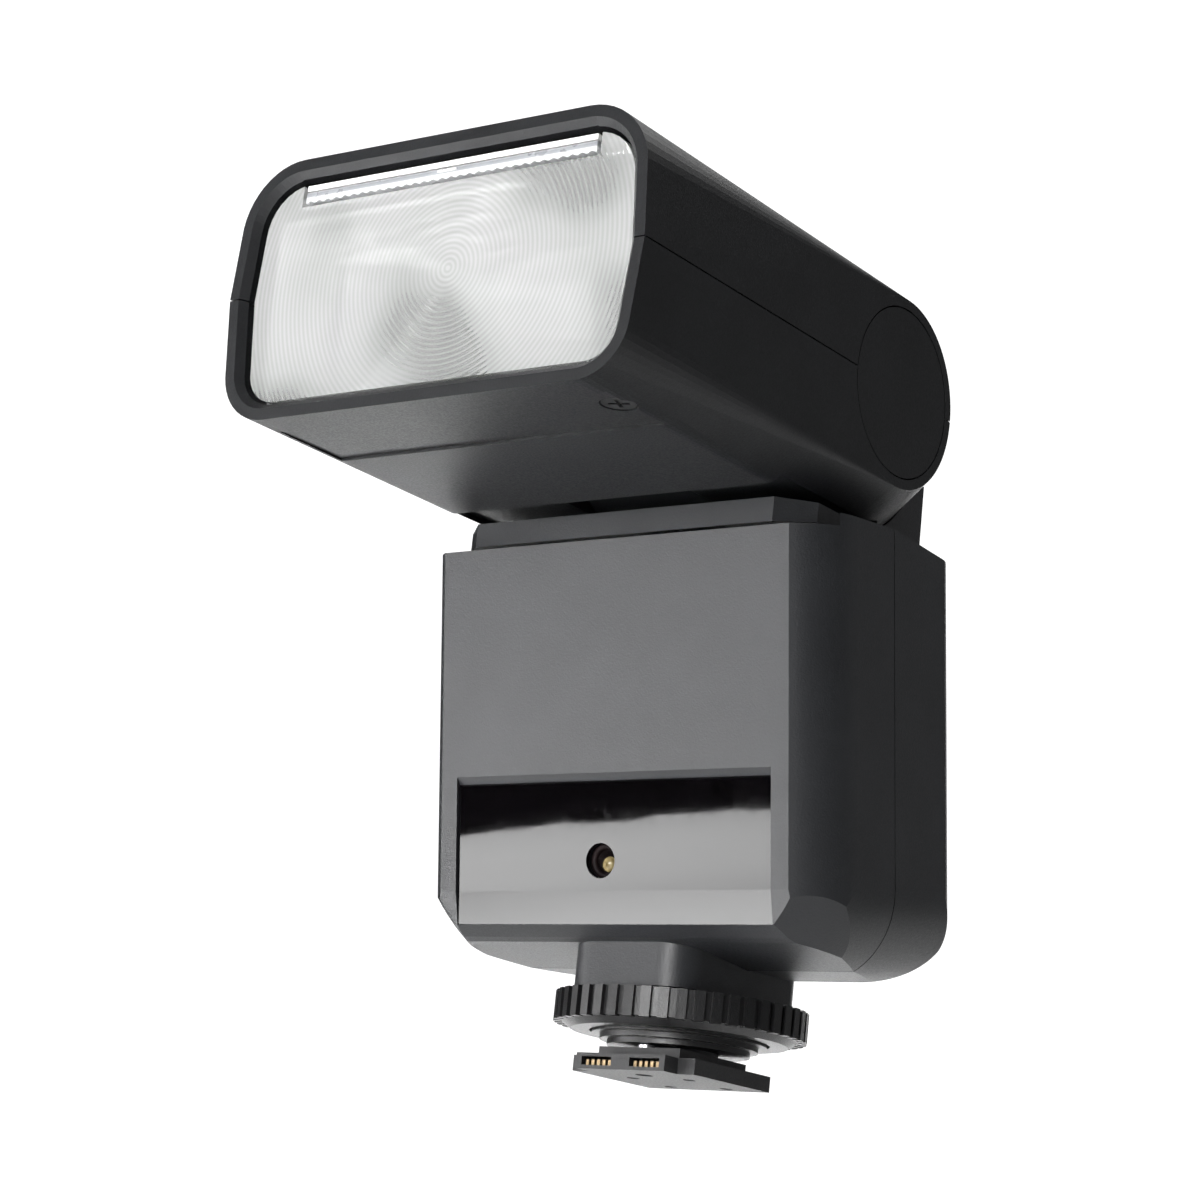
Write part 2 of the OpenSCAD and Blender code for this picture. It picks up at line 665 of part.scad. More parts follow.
module head_screws() {
  color([0.35, 0.35, 0.36]) head_frame() translate([screw_x, screw_y, -15.9]) difference() {
    union() {
      cylinder(r = 2.1, h = 0.8);
      cylinder(r = 1.5, h = 3.2);
    }
    for (a = [20, 110]) rotate([0, 0, a]) translate([-1.3, -0.25, -1]) cube([2.6, 0.5, 1.4]);
  }
}
module head_board() {
  color([0.1, 0.35, 0.2]) head_frame() translate([-20, -42, -12.4]) cube([36, 22, 1.2]);
}
module guide_rods() {
  color([0.75, 0.75, 0.78]) head_frame() for (s = [-1, 1]) translate([s * rod_x, -38, -s * rod_z])
    rotate([-90, 0, 0]) cylinder(r = rod_r, h = 22);
}
module lead_screw() {
  color([0.7, 0.7, 0.7]) head_frame() translate([-rod_x, -38, motor_z]) rotate([-90, 0, 0])
    cylinder(r = 1.1, h = 22.2);
}
module zoom_motor() {
  color([0.55, 0.55, 0.57]) head_frame() translate([-rod_x + 0.6, -15.6, motor_z]) rotate([-90, 0, 0])
    cylinder(r = 3.6, h = 9);
}
module zoom_carriage() {
  color([0.13, 0.13, 0.14]) head_frame() difference() {
    union() {
      translate([-rod_x - 2.4, -27.6, -9.4]) cube([2 * rod_x + 4.8, 2, 18.8]);
      translate([rod_x, -28.6, -rod_z]) rotate([-90, 0, 0]) cylinder(r = 2.4, h = 6);
      translate([-rod_x, -28.6, rod_z]) rotate([-90, 0, 0]) cylinder(r = 2.4, h = 6);
    }
    for (s = [-1, 1]) translate([s * rod_x, -40, -s * rod_z]) rotate([-90, 0, 0])
      cylinder(r = rod_r + 0.06, h = 30);
    translate([-rod_x, -40, motor_z]) rotate([-90, 0, 0]) cylinder(r = 1.15, h = 30);
    translate([-8, -40, -4]) cube([16, 30, 8]);
  }
}
// Trough reflector, open to the front, with plain end walls
module reflector() {
  color([0.9, 0.9, 0.92]) head_frame() difference() {
    translate([-reflector_half, -41.5, -reflector_h]) cube([2 * reflector_half, 13.8, 2 * reflector_h]);
    translate([-reflector_half + 0.8, -41.5, 0]) rotate([90, 0, 90]) linear_extrude(2 * reflector_half - 1.6)
      polygon([
        for (k = [-8:8]) [13 - 13.2 * pow(k / 8, 2), k * (reflector_h - 0.8) / 8],
        [-1, reflector_h - 0.8], [-1, -reflector_h + 0.8]
      ]);
    translate([0, tube_y, 0]) rotate([0, 90, 0]) cylinder(r = tube_r + 0.3, h = 80, center = true);
  }
}
// Silvered funnel, fixed in the head, that carries the light from the reflector out to the lens
module funnel_form(t) {
  hull() {
    translate([-27.3 + t, -52.7, -13 + t]) cube([54.6 - 2 * t, 0.1, 23.9 - 2 * t]);
    translate([-22.5 + t, -42, -10.2 + t]) cube([45 - 2 * t, 0.1, 20.4 - 2 * t]);
  }
  translate([-22.5 + t, -42.1, -10.2 + t]) cube([45 - 2 * t, 4.1, 20.4 - 2 * t]);
}
module light_funnel() {
  color([0.85, 0.85, 0.87]) head_frame() difference() {
    funnel_form(0);
    funnel_form(0.7);
    translate([-21.8, -60, -9.5]) cube([43.6, 30, 19]);
    translate([-26.6, -53, -12.3]) cube([53.2, 0.6, 22.5]);
    translate([-30, -44.2, -3.6]) cube([60, 8, 7.2]);
  }
}
module flash_tube() {
  color([0.9, 0.92, 0.95, 0.6]) head_frame() translate([0, tube_y, 0]) rotate([0, 90, 0])
    cylinder(r = tube_r, h = 44, center = true);
}
module tube_boots() {
  color([0.8, 0.8, 0.78]) head_frame() for (s = [-1, 1]) translate([s * 22.2, tube_y, 0])
    rotate([0, 90, 0]) difference() {
      cylinder(r = 3, h = 2, center = true);
      cylinder(r = tube_r + 0.02, h = 3, center = true);
    }
}

front_shell();
rear_shell();
sensor_window();
sensor_lens();
lcd_window();
lcd_module();
control_board();
main_board();
capacitor();
charging_coil();
battery_cells();
battery_contacts();
battery_carrier();
battery_door();
door_hinge_pin();
door_latch();
casing_screws();
bearing_ring();
detent_spring();
mode_button();
slave_button();
zoom_button();
sync_button();
test_button();
select_dial();
set_button();
power_switch();
neck();
lock_wheel();
pressure_plate();
lock_pin();
foot();
foot_contacts();
foot_screws();
swivel_base();
swivel_collar();
hinge_drum();
head_upper_shell();
head_lower_shell();
fresnel_lens();
wide_panel();
catchlight_panel();
panel_tray();
tilt_axle();
tilt_cap_left();
tilt_cap_right();
friction_washers();
head_screws();
head_board();
guide_rods();
lead_screw();
zoom_motor();
zoom_carriage();
reflector();
flash_tube();
tube_boots();
light_funnel();
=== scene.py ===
import json
import math

import bmesh
import bpy
from mathutils import Matrix, Vector


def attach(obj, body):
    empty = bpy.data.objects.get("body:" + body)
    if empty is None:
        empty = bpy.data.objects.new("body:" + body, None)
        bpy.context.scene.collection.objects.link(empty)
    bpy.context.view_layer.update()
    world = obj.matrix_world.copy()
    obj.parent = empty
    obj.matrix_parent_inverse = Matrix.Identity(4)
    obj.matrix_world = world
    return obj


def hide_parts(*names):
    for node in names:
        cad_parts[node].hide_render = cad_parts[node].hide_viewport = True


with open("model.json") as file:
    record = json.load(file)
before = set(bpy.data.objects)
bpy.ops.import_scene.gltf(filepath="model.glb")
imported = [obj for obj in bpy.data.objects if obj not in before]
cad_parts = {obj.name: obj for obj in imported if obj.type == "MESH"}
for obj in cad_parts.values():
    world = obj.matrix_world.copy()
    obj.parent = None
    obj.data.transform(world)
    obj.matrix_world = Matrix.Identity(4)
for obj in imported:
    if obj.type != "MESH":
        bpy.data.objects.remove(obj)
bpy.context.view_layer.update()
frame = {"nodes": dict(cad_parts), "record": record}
nodes = frame["nodes"]
MM = 0.001
LEAN = math.radians(9)               # forward lean of the body
AXIS_Y, AXIS_Z = -9.4, 86.4          # tilt axis of the head, mm
LENS_FRONT, LENS_BACK = -56.0, -54.5          # depths from the tilt axis, mm
RING_X, RING_Z = 1.9, 0.5                     # centre of the lens rings, from the tilt axis, mm
RING_PITCH = 0.66
BAR_LOW, BAR_HIGH, BAR_HALF = 12.0, 13.4, 22.0   # front bar of the wide panel, mm


def body_point(x, v, w):
    """A point given across the body, by depth and by height along its lean, in metres."""
    y = v * math.cos(LEAN) - w * math.sin(LEAN)
    z = v * math.sin(LEAN) + w * math.cos(LEAN)
    return Vector((x, y, z)) * MM


def head_point(x, y, z):
    """A point given from the tilt axis, in metres."""
    return Vector((x, AXIS_Y + y, AXIS_Z + z)) * MM


# ---- materials ---------------------------------------------------------------------------
class Mat:
    """A procedural material on object coordinates (metres)."""

    def __init__(self, name):
        self.m = bpy.data.materials.new(name)
        self.m.use_nodes = True
        self.nt = self.m.node_tree
        self.nt.nodes.clear()
        self.out = self.nt.nodes.new("ShaderNodeOutputMaterial")
        self.b = self.nt.nodes.new("ShaderNodeBsdfPrincipled")
        self.link(self.b.outputs[0], self.out.inputs["Surface"])
        self.co = self.nt.nodes.new("ShaderNodeTexCoord").outputs["Object"]

    def link(self, a, b):
        self.nt.links.new(a, b)

    def node(self, kind, **props):
        n = self.nt.nodes.new(kind)
        for k, v in props.items():
            setattr(n, k, v)
        return n

    def set(self, **values):
        for k, v in values.items():
            self.b.inputs[k.replace("_", " ")].default_value = v
        return self

    def noise(self, scale, detail=2.0, rough=0.5):
        n = self.node("ShaderNodeTexNoise")
        n.inputs["Scale"].default_value = scale
        n.inputs["Detail"].default_value = detail
        n.inputs["Roughness"].default_value = rough
        self.link(self.co, n.inputs["Vector"])
        return n.outputs["Fac"]

    def ramp(self, fac, stops):
        n = self.node("ShaderNodeValToRGB")
        e = n.color_ramp.elements
        while len(e) < len(stops):
            e.new(0.5)
        for i, (p, c) in enumerate(stops):
            e[i].position = p
            e[i].color = (*c, 1)
        self.link(fac, n.inputs["Fac"])
        return n.outputs["Color"]

    def span(self, fac, lo, hi, a=0.3, b=0.7):
        n = self.node("ShaderNodeMapRange")
        n.inputs["From Min"].default_value = a
        n.inputs["From Max"].default_value = b
        n.inputs["To Min"].default_value = lo
        n.inputs["To Max"].default_value = hi
        self.link(fac, n.inputs["Value"])
        return n.outputs["Result"]

    def bump(self, height, strength, depth):
        n = self.node("ShaderNodeBump")
        n.inputs["Strength"].default_value = strength
        n.inputs["Distance"].default_value = depth
        self.link(height, n.inputs["Height"])
        self.link(n.outputs["Normal"], self.b.inputs["Normal"])


def grained(name, dark, light, rough, grain=3800, depth=0.00006, strength=0.5, spec=0.5):
    """Moulded plastic with a fine grain; rough is (lowest, highest)."""
    m = Mat(name)
    cloud = m.noise(90, 3)
    m.link(m.ramp(cloud, [(0.3, dark), (0.7, light)]), m.b.inputs["Base Color"])
    fine = m.noise(grain, 3, 0.6)
    m.link(m.span(fine, rough[0], rough[1]), m.b.inputs["Roughness"])
    m.bump(fine, strength, depth)
    m.set(Specular_IOR_Level=spec)
    return m.m


def metal(name, dark, light, rough, scale=2500):
    m = Mat(name)
    fine = m.noise(scale, 3)
    m.link(m.ramp(fine, [(0.3, dark), (0.7, light)]), m.b.inputs["Base Color"])
    m.link(m.span(fine, rough[0], rough[1]), m.b.inputs["Roughness"])
    m.bump(fine, 0.15, 0.00002)
    m.set(Metallic=1.0)
    return m.m


def clear(name, tint, rough, ior=1.49):
    m = Mat(name)
    cloud = m.noise(300, 2)
    m.link(m.ramp(cloud, [(0.3, tint), (0.7, tuple(min(1, c * 1.02) for c in tint))]),
           m.b.inputs["Base Color"])
    m.link(m.span(cloud, rough, rough + 0.02), m.b.inputs["Roughness"])
    m.set(Transmission_Weight=1.0, IOR=ior)
    return m.m


def glossy_panel():
    """Polished black plastic, very slightly uneven."""
    m = Mat("gloss_black")
    fine = m.noise(700, 2)
    m.link(m.ramp(fine, [(0.3, (0.0008, 0.0006, 0.0008)), (0.7, (0.0016, 0.0012, 0.0016))]),
           m.b.inputs["Base Color"])
    m.link(m.span(fine, 0.015, 0.03), m.b.inputs["Roughness"])
    m.bump(m.noise(60, 2), 0.04, 0.0004)
    return m.m


def ringed_lens():
    """Hazy clear plastic with fine rings about the lens centre; its colour is darkened near each
    ring's step, a painted shade of the grooves.
    """
    m = Mat("hazy_lens")
    cloud = m.noise(58, 1, 0.4)
    flat = m.node("ShaderNodeVectorMath", operation="MULTIPLY")
    flat.inputs[1].default_value = (1, 0, 1)
    m.link(m.co, flat.inputs[0])
    radius = m.node("ShaderNodeVectorMath", operation="DISTANCE")
    radius.inputs[1].default_value = (RING_X * MM, 0, (AXIS_Z + RING_Z) * MM)
    m.link(flat.outputs[0], radius.inputs[0])
    turns = m.node("ShaderNodeMath", operation="MULTIPLY")
    turns.inputs[1].default_value = 2 * math.pi / (RING_PITCH * MM)
    m.link(radius.outputs["Value"], turns.inputs[0])
    ring_step_shade = m.node("ShaderNodeMath", operation="SINE")
    m.link(turns.outputs[0], ring_step_shade.inputs[0])
    tone = m.node("ShaderNodeVectorMath", operation="SCALE")
    m.link(m.ramp(cloud, [(0.34, (0.66, 0.67, 0.66)), (0.48, (0.92, 0.93, 0.92)), (0.6, (1, 1, 1))]),
           tone.inputs[0])
    # painted shade: the colour dips to 0.86 near each ring step
    m.link(m.span(ring_step_shade.outputs[0], 0.86, 1.03, -1, 1), tone.inputs["Scale"])
    m.link(tone.outputs[0], m.b.inputs["Base Color"])
    m.link(m.span(cloud, 0.03, 0.06), m.b.inputs["Roughness"])
    m.set(IOR=1.49, Transmission_Weight=0.69)
    return m.m


def dark_glass():
    m = Mat("sensor_glass")
    cloud = m.noise(260, 2)
    m.link(m.ramp(cloud, [(0.3, (0.003, 0.002, 0.003)), (0.7, (0.012, 0.006, 0.006))]),
           m.b.inputs["Base Color"])
    m.link(m.span(cloud, 0.5, 0.6), m.b.inputs["Roughness"])
    m.set(Specular_IOR_Level=0.15)
    return m.m


def amber_eye():
    m = Mat("sensor_eye")
    cloud = m.noise(900, 2)
    m.link(m.ramp(cloud, [(0.3, (0.16, 0.12, 0.05)), (0.7, (0.34, 0.28, 0.14))]),
           m.b.inputs["Base Color"])
    m.link(m.span(cloud, 0.08, 0.16), m.b.inputs["Roughness"])
    return m.m


def frosted_bar_painted_shade():
    """Frosted plastic over the height of the wide panel's front bar, with painted shade on its upper
    part and painted light on its lower part.
    """
    m = Mat("frosted_bar_painted_shade")
    axis = m.node("ShaderNodeSeparateXYZ")
    m.link(m.co, axis.inputs[0])
    height = m.span(axis.outputs["Z"], 0, 1, (AXIS_Z + BAR_LOW) * MM, (AXIS_Z + BAR_HIGH) * MM)
    # painted light and shade: near white low on the bar, dark grey higher up, standing for how light
    # falls on its faces
    m.link(m.ramp(height, [
        (0.0, (0.95, 0.96, 0.97)), (0.5, (0.9, 0.91, 0.93)), (0.6, (0.42, 0.43, 0.45)),
        (0.85, (0.3, 0.31, 0.33)), (1.0, (0.5, 0.5, 0.52))]), m.b.inputs["Base Color"])
    m.link(m.span(m.noise(500, 2), 0.25, 0.35), m.b.inputs["Roughness"])
    m.set(Transmission_Weight=0.25, IOR=1.49)
    return m.m


casing = grained("casing_plastic", (0.0125, 0.0132, 0.015), (0.0165, 0.0173, 0.0196), (0.36, 0.5))
head_mat = grained("head_plastic", (0.005, 0.0053, 0.0062), (0.0078, 0.0083, 0.0095),
                   (0.38, 0.54), spec=0.38)
wheel_mat = grained("wheel_plastic", (0.005, 0.005, 0.0055), (0.008, 0.008, 0.0085),
                    (0.28, 0.4), 5200)
inner = grained("inner_plastic", (0.010, 0.010, 0.011), (0.017, 0.017, 0.018), (0.4, 0.55), 3000)
rubber = grained("button_rubber", (0.03, 0.03, 0.032), (0.045, 0.045, 0.047), (0.6, 0.75), 2600)
red_key = grained("ready_red", (0.42, 0.02, 0.015), (0.55, 0.035, 0.02), (0.2, 0.3), 2600, 0.00002)
card = grained("white_card", (0.82, 0.82, 0.8), (0.88, 0.88, 0.87), (0.4, 0.5), 2600, 0.00002)
board = grained("circuit_board", (0.02, 0.12, 0.06), (0.03, 0.18, 0.09), (0.35, 0.45), 1200)
sleeve = grained("capacitor_sleeve", (0.012, 0.012, 0.06), (0.02, 0.02, 0.1), (0.25, 0.35))
boots = grained("silicone", (0.66, 0.66, 0.64), (0.76, 0.76, 0.74), (0.5, 0.6))
gloss = glossy_panel()
steel = metal("steel", (0.5, 0.5, 0.52), (0.62, 0.62, 0.64), (0.25, 0.4))
cell_case = metal("cell_case", (0.16, 0.165, 0.17), (0.24, 0.245, 0.25), (0.42, 0.55), 1200)
spring = metal("spring_steel", (0.52, 0.52, 0.52), (0.66, 0.65, 0.62), (0.3, 0.4))
dark_screw = metal("dark_screw", (0.05, 0.05, 0.052), (0.09, 0.09, 0.093), (0.3, 0.45))
brass = metal("contact_brass", (0.26, 0.19, 0.11), (0.4, 0.3, 0.18), (0.35, 0.5))
copper = metal("copper", (0.6, 0.32, 0.14), (0.75, 0.42, 0.2), (0.3, 0.45), 900)
silver = metal("reflector_silver", (0.92, 0.92, 0.92), (0.97, 0.97, 0.97), (0.36, 0.46), 900)
acrylic = clear("clear_lens", (0.97, 0.98, 0.985), 0.02)
hazy = ringed_lens()
lcd_glass = clear("lcd_glass", (0.6, 0.64, 0.65), 0.05)
sensor_glass = dark_glass()
sensor_eye = amber_eye()
bar_painted_shade_mat = frosted_bar_painted_shade()
quartz = clear("tube_glass", (0.95, 0.97, 0.98), 0.02)
lcd_ink = grained("lcd_ink", (0.02, 0.025, 0.03), (0.035, 0.04, 0.045), (0.4, 0.5), 2600, 0.00001)
lcd_panel = grained("lcd_panel", (0.33, 0.38, 0.34), (0.38, 0.43, 0.38), (0.35, 0.4), 2600, 0.00001)

BY_SLOT = {
    "casing_plastic": casing, "head_plastic": head_mat, "gloss_black": gloss,
    "clear_lens": acrylic, "lcd_glass": lcd_glass, "lcd_panel": lcd_panel,
    "circuit_board": board, "capacitor_sleeve": sleeve, "copper": copper, "cell_steel": cell_case,
    "spring_steel": spring, "inner_plastic": inner, "button_rubber": rubber,
    "ready_red": red_key, "wheel_plastic": wheel_mat, "contact_brass": brass, "steel": steel,
    "white_card": card, "reflector_silver": silver, "tube_glass": quartz, "silicone": boots,
}

for part in frame["record"]["subparts"]:
    for s in nodes[part["node"]].material_slots:
        s.material = BY_SLOT[part["material_slot"]]

for s in nodes["head_screws"].material_slots:
    s.material = dark_screw


def soften(name, width, segments=3, angle=28):
    """Rounds the sharp edges of a CAD node."""
    mod = nodes[name].modifiers.new("edge", "BEVEL")
    mod.width = width * MM
    mod.segments = segments
    mod.limit_method = "ANGLE"
    mod.angle_limit = math.radians(angle)
    mod.harden_normals = True
    mod.use_clamp_overlap = True


for name, width in [("front_shell", 0.35), ("rear_shell", 0.35), ("head_upper_shell", 0.3),
                    ("head_lower_shell", 0.3), ("swivel_base", 0.35), ("neck", 0.4),
                    ("foot", 0.2), ("lock_wheel", 0.12), ("pressure_plate", 0.2),
                    ("battery_door", 0.25), ("tilt_cap_left", 0.25), ("tilt_cap_right", 0.25)]:
    soften(name, width)

# ---- camera, light, floor ------------------------------------------------------------------
scene = bpy.context.scene
CAMERA_AT = (0.2226, -0.32387, -0.03496)
CAMERA_RIGHT = Vector((0.81111, 0.57623, 0.10027)).normalized()
CAMERA_FORWARD = Vector((-0.58177, 0.77717, 0.23988)).normalized()
LENS, SENSOR = 91.6, 36              # mm

cam_data = bpy.data.cameras.new("camera")
cam_data.lens = LENS
cam_data.sensor_width = SENSOR
cam_data.clip_start = 0.01
cam = bpy.data.objects.new("camera", cam_data)
scene.collection.objects.link(cam)
camera_up = CAMERA_RIGHT.cross(CAMERA_FORWARD).normalized()
cam.matrix_world = Matrix.Translation(CAMERA_AT) @ Matrix(
    (CAMERA_RIGHT, camera_up, -CAMERA_FORWARD)).transposed().to_4x4()
scene.camera = cam
scene.view_settings.view_transform = "Standard"


def area(name, where, target, size, power, size_y, spread=180):
    """A rectangular lamp, unseen by the camera; spread is in degrees."""
    data = bpy.data.lights.new(name, "AREA")
    data.shape = "RECTANGLE"
    data.size = size
    data.size_y = size_y
    data.energy = power
    data.spread = math.radians(spread)
    obj = bpy.data.objects.new(name, data)
    obj.location = where
    obj.rotation_euler = (Vector(target) - Vector(where)).to_track_quat("-Z", "Y").to_euler()
    obj.visible_camera = False
    scene.collection.objects.link(obj)


CENTRE = (0, -0.01, 0.06)
area("key", (-0.8, -0.45, 0.0), CENTRE, 0.5, 2.2, 0.3)
# three lamps light parts of the floor, which the glossy panel and the undersides mirror
area("far_floor", (-0.75, -0.95, 0.55), (-0.75, -0.95, -0.1), 0.7, 18, 0.7, spread=75)
area("near_floor", (-0.26, -0.34, 0.32), (-0.26, -0.34, -0.1), 0.3, 5, 0.3, spread=70)
area("rear_floor", (-0.4, 0.5, 0.42), (-0.4, 0.5, -0.1), 0.4, 3.0, 0.4, spread=65)
area("strip", (-0.7, -0.9, 0.09), (0, 0, 0.06), 0.8, 1.6, 0.1)
area("front", (0.12, -0.75, 0.14), (0, -0.05, 0.087), 0.34, 5.2, 0.22)
area("side", (0.62, 0.82, 0.28), CENTRE, 0.6, 0.22, 0.5)
area("back", (-0.35, 0.75, 0.35), CENTRE, 0.7, 3, 0.5)
area("top", (0.1, 0.25, 0.8), CENTRE, 0.5, 3, 0.5)
area("room", (0.2, 0.1, 1.7), (0, 0, 0), 2.4, 11, 2.4)

BACKGROUND, AMBIENT = 1.2, 0.018     # brightness seen by the camera, and as a light
world = bpy.data.worlds.new("studio")
world.use_nodes = True
scene.world = world
wn, wl = world.node_tree.nodes, world.node_tree.links
wn.clear()
w_out = wn.new("ShaderNodeOutputWorld")
w_seen = wn.new("ShaderNodeBackground")
w_seen.inputs[0].default_value = (1, 1, 1, 1)
w_seen.inputs[1].default_value = BACKGROUND
w_light = wn.new("ShaderNodeBackground")
w_light.inputs[0].default_value = (0.95, 0.97, 1, 1)
w_light.inputs[1].default_value = AMBIENT
w_path = wn.new("ShaderNodeLightPath")
w_mix = wn.new("ShaderNodeMixShader")
wl.new(w_path.outputs["Is Camera Ray"], w_mix.inputs[0])
wl.new(w_light.outputs[0], w_mix.inputs[1])
wl.new(w_seen.outputs[0], w_mix.inputs[2])
wl.new(w_mix.outputs[0], w_out.inputs[0])


def mesh_object(name, verts, faces, material, smooth=False):
    me = bpy.data.meshes.new(name)
    me.from_pydata([tuple(v) for v in verts], [], faces)
    me.validate()
    obj = bpy.data.objects.new(name, me)
    scene.collection.objects.link(obj)
    me.materials.append(material)
    if smooth:
        for p in me.polygons:
            p.use_smooth = True
    return obj


BOX_FACES = [(0, 2, 3, 1), (4, 5, 7, 6), (0, 1, 5, 4), (2, 6, 7, 3), (0, 4, 6, 2), (1, 3, 7, 5)]


def add_box(verts, faces, point, xs, ys, zs):
    """Adds a box to a mesh in the making; point turns its millimetres into a place."""
    k = len(verts)
    verts += [point(x, y, z) for z in zs for y in ys for x in xs]
    faces += [tuple(k + i for i in f) for f in BOX_FACES]


paper = Mat("floor_paper")
paper.link(paper.ramp(paper.noise(4, 2), [(0.3, (0.86, 0.86, 0.86)), (0.7, (0.9, 0.9, 0.9))]),
           paper.b.inputs["Base Color"])
paper.set(Roughness=0.8)
FLOOR_Z = -0.085
FRONT_EDGE, BACK_EDGE, HALF_WIDTH = 1.37, 1.8, 1.6
away, across = Vector((-0.5817, -0.8134, 0)), Vector((0.8134, -0.5817, 0))
outline = [away * FRONT_EDGE - across * HALF_WIDTH, away * FRONT_EDGE + across * HALF_WIDTH,
           across * HALF_WIDTH - away * BACK_EDGE, -across * HALF_WIDTH - away * BACK_EDGE]
floor = mesh_object("floor", [(p.x, p.y, FLOOR_Z) for p in outline], [(0, 1, 2, 3)], paper.m)


# ---- front lens: stepped rings on its back, flat front ---------------------------------------
def arc(cx, cz, r, a0, a1, n):
    return [(cx + r * math.cos(math.radians(a0 + (a1 - a0) * i / n)),
             cz + r * math.sin(math.radians(a0 + (a1 - a0) * i / n))) for i in range(n + 1)]


def rim_line(t, n=8):
    """Outline of the head's front, moved in by t mm, anticlockwise from the right side.

    xu, ru and xl, rl are the half width and corner radius of its upper and lower part.
    """
    xu, xl, ru, rl = 30.6 - t, 30.3 - t, 9 - t, 7 - t
    return ([(31.2 - t, 0)] + arc(xu - ru, 8.2, ru, 0, 90, n) + arc(-xu + ru, 8.2, ru, 90, 180, n)
            + [(-31.2 + t, 0)] + arc(-xl + rl, -9.2, rl, 180, 270, n)
            + arc(xl - rl, -9.2, rl, 270, 360, n))


RINGS, RING_SEGMENTS = 51, 144
STEP = 0.18                          # depth of the ring grooves, mm
LENS_INSET = 2.75                    # from the head's outline to the lens
NOTCH_X, NOTCH_Z = 22.6, 11.6        # room for the panels at the top of the lens


def ring_lens():
    """Grooved disc, cut to the rim's outline and the notch, then closed with a flat front."""
    bm = bmesh.new()
    radii = []
    for k in range(RINGS):
        radii += [(k * RING_PITCH + (0.0 if k else 0.02), 0.0),
                  ((k + 0.4) * RING_PITCH, 0.7 * STEP), ((k + 0.76) * RING_PITCH, STEP)]
    seg = RING_SEGMENTS
    rows = []
    for r, h in radii:
        rows.append([bm.verts.new(head_point(
            RING_X + r * math.cos(2 * math.pi * i / seg), LENS_BACK + STEP - h,
            RING_Z + r * math.sin(2 * math.pi * i / seg))) for i in range(seg)])
    for r0, r1 in zip(rows, rows[1:]):
        for i in range(seg):
            j = (i + 1) % seg
            bm.faces.new((r0[i], r0[j], r1[j], r1[i]))
    bm.faces.new(rows[0][::-1])
    line = rim_line(LENS_INSET)
    for (x0, z0), (x1, z1) in zip(line, line[1:] + line[:1]):
        if math.hypot(x1 - x0, z1 - z0) < 0.01:
            continue
        bmesh.ops.bisect_plane(bm, geom=bm.verts[:] + bm.edges[:] + bm.faces[:], dist=1e-7,
                               plane_co=head_point(x0, 0, z0), plane_no=(z1 - z0, 0, x0 - x1),
                               clear_outer=True)
    for co, no in [((NOTCH_X, 0, 0), (1, 0, 0)), ((-NOTCH_X, 0, 0), (1, 0, 0)),
                   ((0, 0, NOTCH_Z), (0, 0, 1))]:
        bmesh.ops.bisect_plane(bm, geom=bm.verts[:] + bm.edges[:] + bm.faces[:], dist=1e-7,
                               plane_co=head_point(*co), plane_no=no)
    top, side = head_point(0, 0, NOTCH_Z).z, NOTCH_X * MM
    gone = [f for f in bm.faces
            if f.calc_center_median().z > top and abs(f.calc_center_median().x) < side]
    bmesh.ops.delete(bm, geom=gone, context="FACES")
    rim = [e for e in bm.edges if e.is_boundary]
    out = bmesh.ops.extrude_edge_only(bm, edges=rim)
    new = [v for v in out["geom"] if isinstance(v, bmesh.types.BMVert)]
    front = head_point(0, LENS_FRONT, 0).y
    for v in new:
        v.co.y = front
    edges = [e for e in out["geom"] if isinstance(e, bmesh.types.BMEdge)]
    bmesh.ops.contextual_create(bm, geom=[e for e in edges if e.is_boundary])
    bmesh.ops.recalc_face_normals(bm, faces=bm.faces[:])
    me = bpy.data.meshes.new("ring_lens")
    bm.to_mesh(me)
    bm.free()
    obj = bpy.data.objects.new("ring_lens", me)
    scene.collection.objects.link(obj)
    me.materials.append(hazy)
    return obj


lens = ring_lens()
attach(lens, "head")
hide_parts("fresnel_lens")


# ---- wide panel: plate with a ridged front bar ------------------------------------------------
TEETH, TOOTH = 64, 0.28


def wide_bar():
    line = [(-BAR_HALF, BAR_HIGH), (BAR_HALF, BAR_HIGH)]
    for i in range(TEETH + 1):
        x = BAR_HALF - 2 * BAR_HALF * i / TEETH
        line.append((x, BAR_LOW + (TOOTH if i % 2 else 0.0)))
    n = len(line)
    verts, faces = [], []
    for y in (LENS_FRONT, LENS_BACK):
        verts += [head_point(x, y, z) for x, z in line]
    faces.append(tuple(range(n))[::-1])
    faces.append(tuple(range(n, 2 * n)))
    faces += [(i, (i + 1) % n, (i + 1) % n + n, i + n) for i in range(n)]
    plate_back, tab_front = -18.0, LENS_FRONT - 0.15
    add_box(verts, faces, head_point, (-BAR_HALF, BAR_HALF), (LENS_BACK, plate_back), (12.5, 13.38))
    add_box(verts, faces, head_point, (-1.4, 1.4), (tab_front, LENS_FRONT), (12.95, 13.2))
    obj = mesh_object("wide_bar", verts, faces, bar_painted_shade_mat)
    obj.data.materials.append(card)
    for p in obj.data.polygons[-len(BOX_FACES):]:      # the small tab
        p.material_index = 1
    return obj


bar = wide_bar()
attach(bar, "wide_panel")
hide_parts("wide_panel")


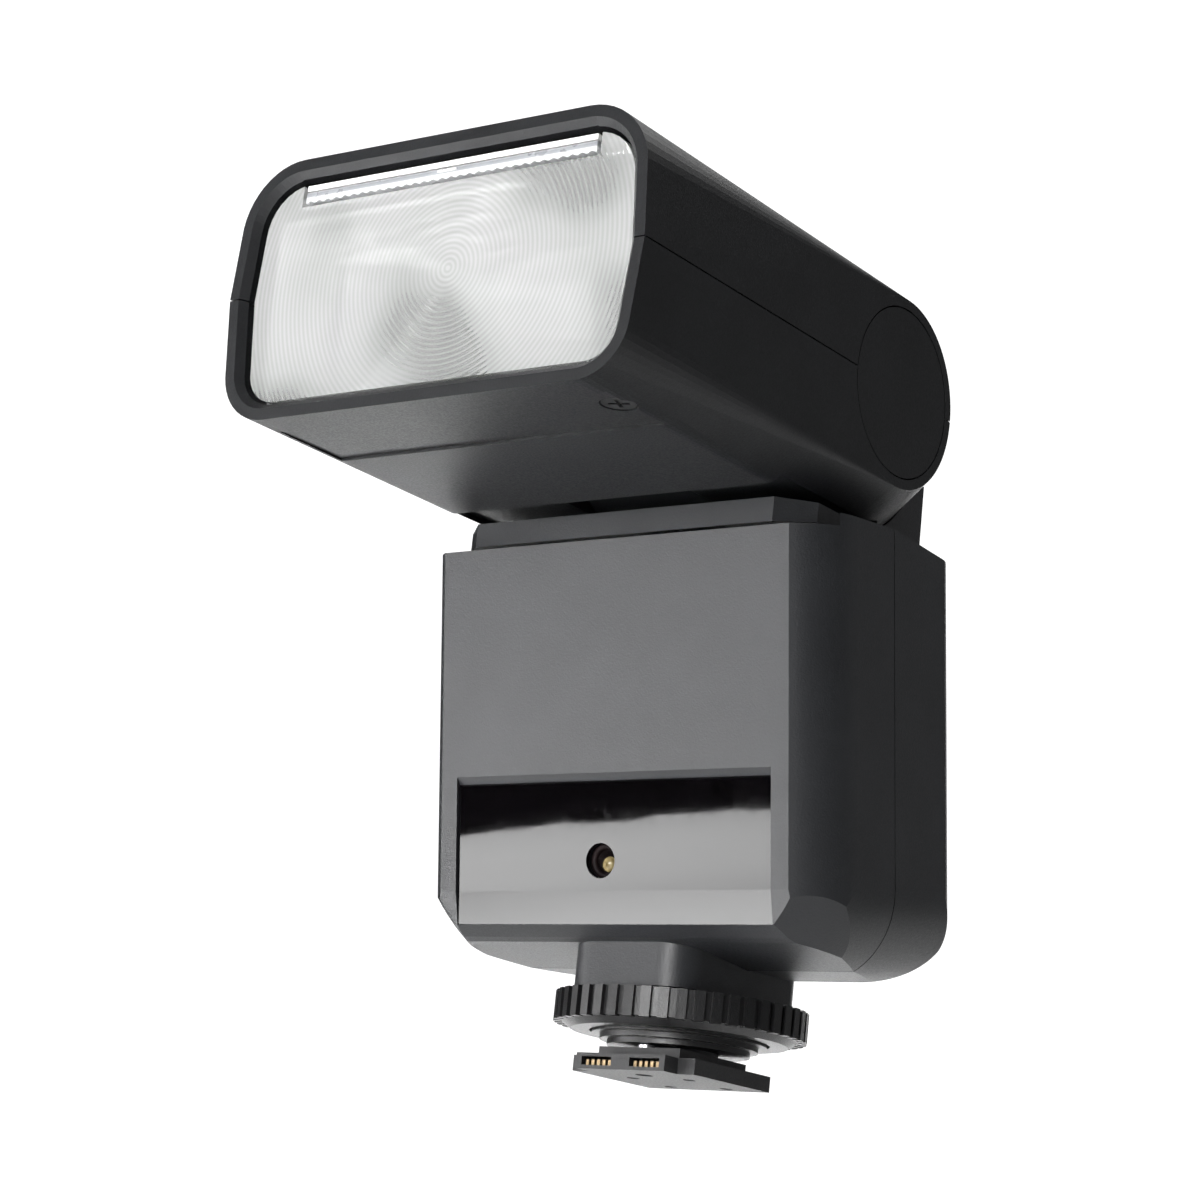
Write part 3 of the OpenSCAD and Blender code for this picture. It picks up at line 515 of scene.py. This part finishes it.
# ---- light sensor: dark disc with a small eye -----------------------------------------------
def sensor_eye_mesh():
    """Two turned shapes, each a list of (radius, depth) behind the face v0, in mm."""
    cx, cw, v0 = -1.4, 27.8, -13.8
    disc = [(2.28, 1.2), (2.28, 0.25), (1.9, 0.0), (1.3, 0.35)]
    bead = [(1.0, 0.35), (0.92, 0.05), (0.7, -0.2), (0.4, -0.34), (0.05, -0.4)]
    seg = 48
    verts, faces = [], []

    def lathe(points, ox, ow):
        rings = []
        for r, d in points:
            rings.append(len(verts))
            verts.extend(body_point(cx + ox + r * math.cos(2 * math.pi * i / seg), v0 + d,
                                    cw + ow + r * math.sin(2 * math.pi * i / seg))
                         for i in range(seg))
        for a, b in zip(rings, rings[1:]):
            for i in range(seg):
                j = (i + 1) % seg
                faces.append((a + i, b + i, b + j, a + j))
        faces.append(tuple(rings[-1] + i for i in range(seg)))
        faces.append(tuple(rings[0] + i for i in range(seg))[::-1])

    lathe(disc, 0, 0)
    dark_faces = len(faces)
    lathe(bead, 0.55, -0.45)
    obj = mesh_object("sensor_eye", verts, faces, sensor_glass, smooth=True)
    obj.data.materials.append(sensor_eye)
    for p in obj.data.polygons[dark_faces:]:
        p.material_index = 1
    return obj


eye = sensor_eye_mesh()
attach(eye, "casing")
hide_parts("sensor_lens")


# ---- rear display: plain bars, ticks and a cell gauge ----------------------------------------
INK_FRONT, INK_BACK = 16.71, 16.76   # depths of the marks, mm


def display_bars():
    """Marks given as (x0, x1, lowest, highest), in mm on the leaning body."""
    marks = [(9.4, 13.6, 54.4, 54.6), (9.4, 13.6, 56.2, 56.4), (9.4, 9.6, 54.6, 56.2),
             (13.4, 13.6, 54.6, 56.2), (8.9, 9.4, 55.0, 55.8)]
    marks += [(12.1 - 1.1 * k, 12.9 - 1.1 * k, 54.9, 55.9) for k in range(3)]
    marks += [(-13.0 + 1.9 * k, -11.9 + 1.9 * k, 41.4, 42.2 + 0.1 * k) for k in range(14)]
    marks += [(-13.4, -0.6, 52.6, 52.75), (-13.4, -0.6, 45.4, 45.55),
              (-13.4, -13.25, 45.55, 52.6), (-0.75, -0.6, 45.55, 52.6)]
    marks += [(-12.2, -3.2 - 1.3 * k, 50.6 - 1.5 * k, 51.5 - 1.5 * k) for k in range(4)]
    marks += [(2.0, 13.2, 49.2, 49.4), (2.0, 9.4, 47.2, 47.4)]
    marks += [(2.4 + 1.5 * k, 2.6 + 1.5 * k, 49.4, 50.4 if k % 2 else 51.0) for k in range(8)]
    marks += [(-13.2, -9.8, 54.6, 56.1), (-8.8, -7.2, 54.6, 56.1)]
    verts, faces = [], []
    for x0, x1, w0, w1 in marks:
        add_box(verts, faces, body_point, (x0, x1), (INK_FRONT, INK_BACK), (w0, w1))
    return mesh_object("display_bars", verts, faces, lcd_ink)


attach(display_bars(), "casing")
